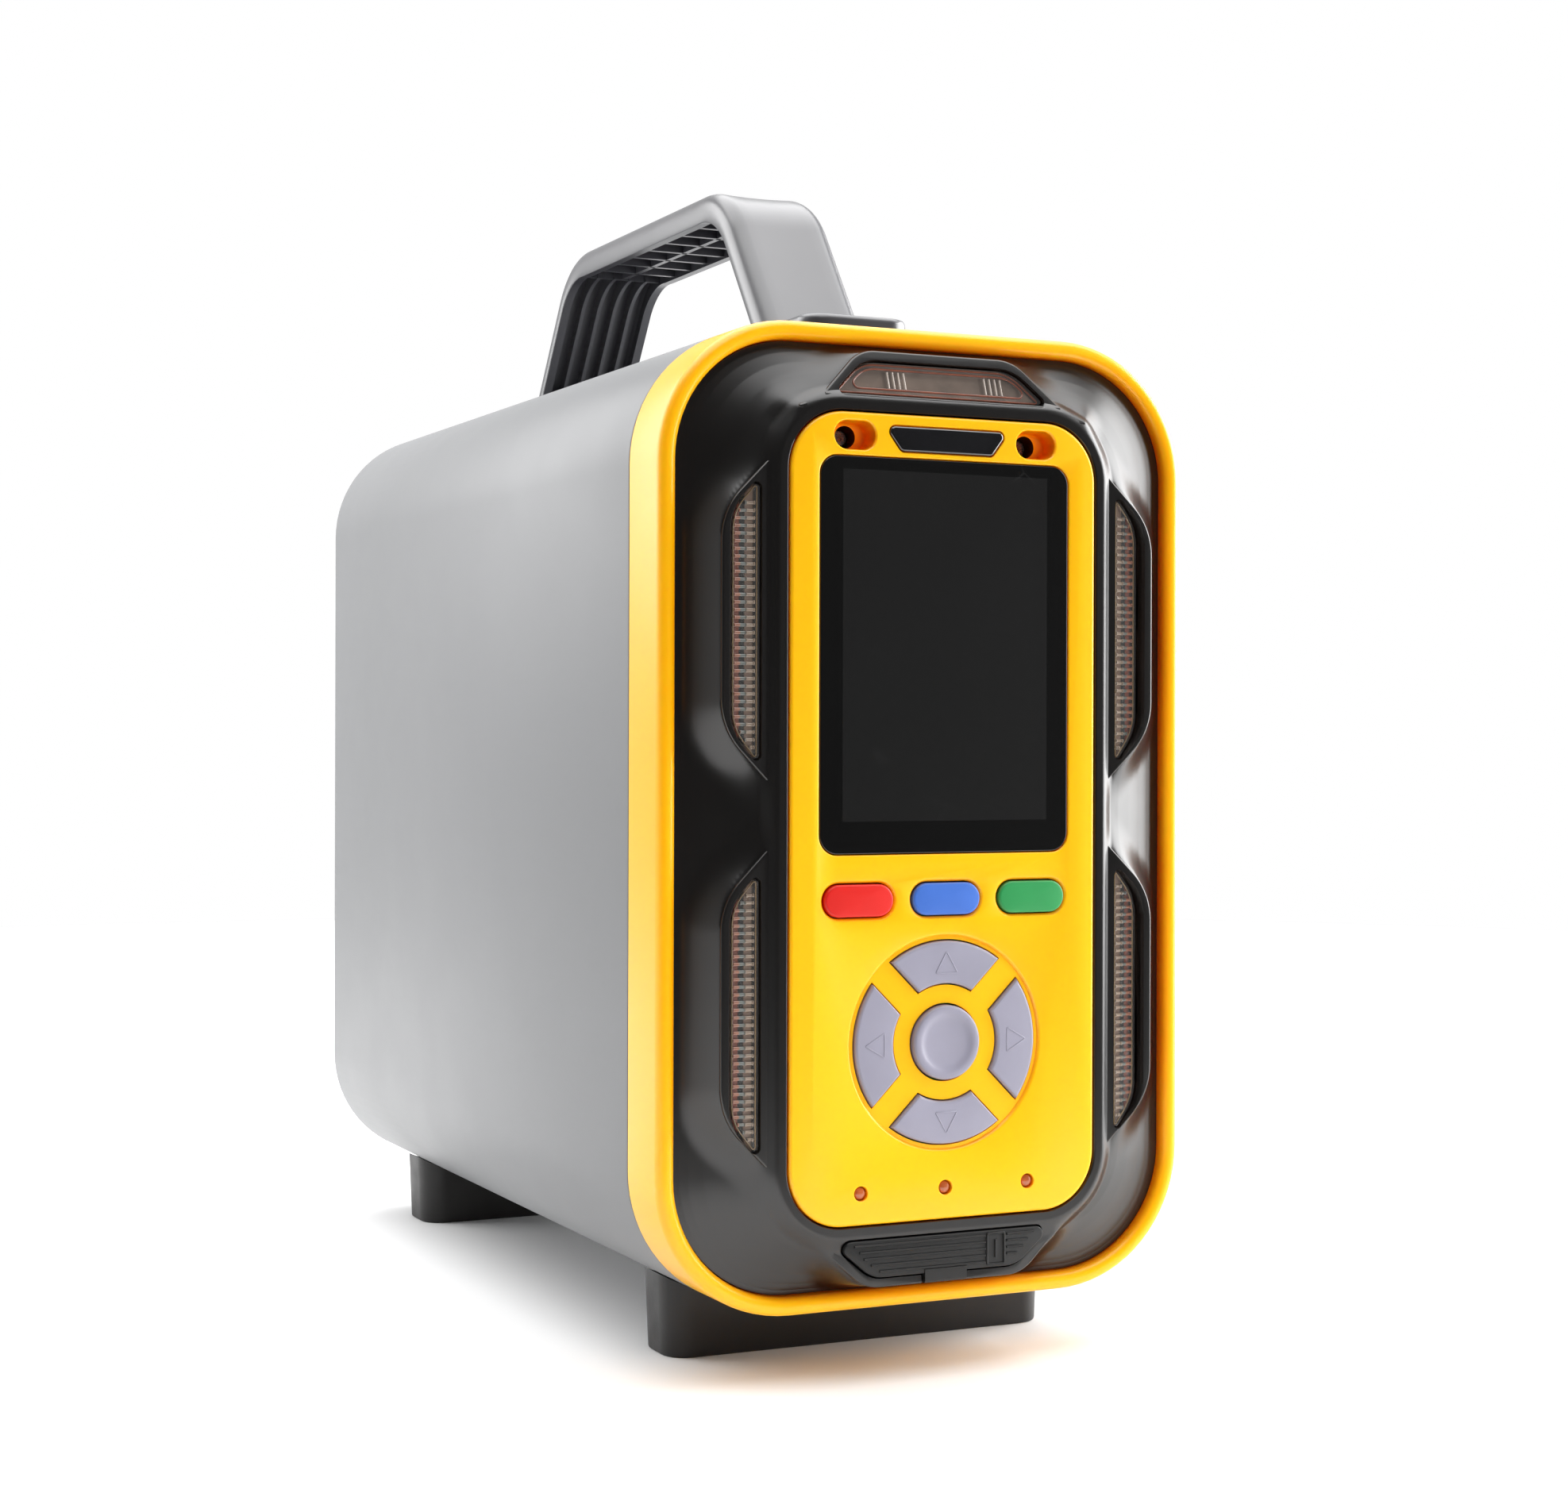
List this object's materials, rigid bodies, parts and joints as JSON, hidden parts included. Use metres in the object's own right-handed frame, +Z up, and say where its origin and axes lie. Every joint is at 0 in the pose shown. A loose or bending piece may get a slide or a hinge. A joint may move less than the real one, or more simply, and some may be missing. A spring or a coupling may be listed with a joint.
{
  "type": "portable gas detector",
  "caption": "Hand-carried gas detector in a rounded metal case, with a fixed handle, display, keypad, alarm windows, hinged port flap and a pumped gas sampling train.",
  "frame": {"origin": "bottom centre of the whole object's box, on the surface that the two standing feet rest on", "axes": "+Z up; the display and keypad face -Y; +X is to the right of the front as its user sees it"},
  "size_m": [0.126, 0.2634, 0.2684],
  "materials": {
    "case_metal": "satin grey paint on an extruded tube",
    "yellow_plastic": "semi-gloss moulded yellow",
    "bezel_plastic": "satin black moulding",
    "badge_black": "gloss black, blank",
    "display_black": "black gloss cover glass, opaque when off",
    "lens_clear": "smoky clear ribbed moulding",
    "handle_plastic": "fine satin glass-filled nylon",
    "foot_rubber": "matte black",
    "seal_rubber": "matte black",
    "key_red": "satin silicone",
    "key_blue": "satin silicone",
    "key_green": "satin silicone",
    "key_grey": "satin silicone, cool grey",
    "lamp_amber": "tinted light pipe",
    "screw_steel": "zinc-plated",
    "fitting_steel": "nickel-plated",
    "bracket_steel": "plain sheet",
    "circuit_board": "solder mask",
    "battery_wrap": "shrink wrap",
    "manifold_alu": "dark anodised",
    "sensor_can": "plain can",
    "pump_metal": "plain",
    "pump_plastic": "moulded black",
    "tube_silicone": "translucent silicone"
  },
  "bodies": {
    "case": {"alarm_lens_lower_left": "lens_clear", "alarm_lens_lower_right": "lens_clear", "alarm_lens_top": "lens_clear", "alarm_lens_upper_left": "lens_clear", "alarm_lens_upper_right": "lens_clear", "badge_plate": "badge_black", "battery_pack": "battery_wrap", "charge_socket": "fitting_steel", "chassis_shelf": "bracket_steel", "data_socket": "fitting_steel", "display_glass": "display_black", "display_module": "bracket_steel", "fascia": "yellow_plastic", "fascia_screw_left": "screw_steel", "fascia_screw_right": "screw_steel", "foot_front": "foot_rubber", "foot_rear": "foot_rubber", "foot_screw_front_left": "screw_steel", "foot_screw_front_right": "screw_steel", "foot_screw_rear_left": "screw_steel", "foot_screw_rear_right": "screw_steel", "front_bezel": "bezel_plastic", "front_ring": "yellow_plastic", "front_seal": "seal_rubber", "gas_inlet": "fitting_steel", "gas_outlet": "fitting_steel", "gas_sensor_1": "sensor_can", "gas_sensor_2": "sensor_can", "gas_sensor_3": "sensor_can", "handle": "handle_plastic", "handle_screw_front": "screw_steel", "handle_screw_rear": "screw_steel", "housing": "case_metal", "keypad_board": "circuit_board", "main_board": "circuit_board", "pump_head": "pump_plastic", "pump_motor": "pump_metal", "rear_gasket": "seal_rubber", "rear_panel": "bezel_plastic", "rear_screw_lower_left": "screw_steel", "rear_screw_lower_right": "screw_steel", "rear_screw_upper_left": "screw_steel", "rear_screw_upper_right": "screw_steel", "sample_tube_in": "tube_silicone", "sample_tube_link": "tube_silicone", "sample_tube_out": "tube_silicone", "sensor_manifold": "manifold_alu", "status_lamp_left": "lamp_amber", "status_lamp_middle": "lamp_amber", "status_lamp_right": "lamp_amber"},
    "key_power": {"key_power": "key_red"},
    "key_pump": {"key_pump": "key_blue"},
    "key_menu": {"key_menu": "key_green"},
    "key_up": {"key_up": "key_grey"},
    "key_down": {"key_down": "key_grey"},
    "key_left": {"key_left": "key_grey"},
    "key_right": {"key_right": "key_grey"},
    "key_enter": {"key_enter": "key_grey"},
    "port_flap": {"port_flap": "seal_rubber"},
    "pump_rotor": {"pump_rotor": "pump_metal"}
  },
  "joints": [
    {"name": "power_press", "type": "slide", "parent": "case", "child": "key_power", "axis": [0, 1, 0], "range_m": [0, 0.001], "stiffness_N_per_m": 1500},
    {"name": "pump_press", "type": "slide", "parent": "case", "child": "key_pump", "axis": [0, 1, 0], "range_m": [0, 0.001], "stiffness_N_per_m": 1500},
    {"name": "menu_press", "type": "slide", "parent": "case", "child": "key_menu", "axis": [0, 1, 0], "range_m": [0, 0.001], "stiffness_N_per_m": 1500},
    {"name": "up_press", "type": "slide", "parent": "case", "child": "key_up", "axis": [0, 1, 0], "range_m": [0, 0.001], "stiffness_N_per_m": 1500},
    {"name": "down_press", "type": "slide", "parent": "case", "child": "key_down", "axis": [0, 1, 0], "range_m": [0, 0.001], "stiffness_N_per_m": 1500},
    {"name": "left_press", "type": "slide", "parent": "case", "child": "key_left", "axis": [0, 1, 0], "range_m": [0, 0.001], "stiffness_N_per_m": 1500},
    {"name": "right_press", "type": "slide", "parent": "case", "child": "key_right", "axis": [0, 1, 0], "range_m": [0, 0.001], "stiffness_N_per_m": 1500},
    {"name": "enter_press", "type": "slide", "parent": "case", "child": "key_enter", "axis": [0, 1, 0], "range_m": [0, 0.001], "stiffness_N_per_m": 1500},
    {"name": "port_flap_hinge", "type": "hinge", "parent": "case", "child": "port_flap", "pos_m": [0, -0.1304, 0.0212], "axis": [1, 0, 0], "range_deg": [0, 110]},
    {"name": "pump_spin", "type": "hinge", "parent": "case", "child": "pump_rotor", "pos_m": [0.024, 0.02565, 0.142], "axis": [0, 1, 0], "continuous": true}
  ]
}
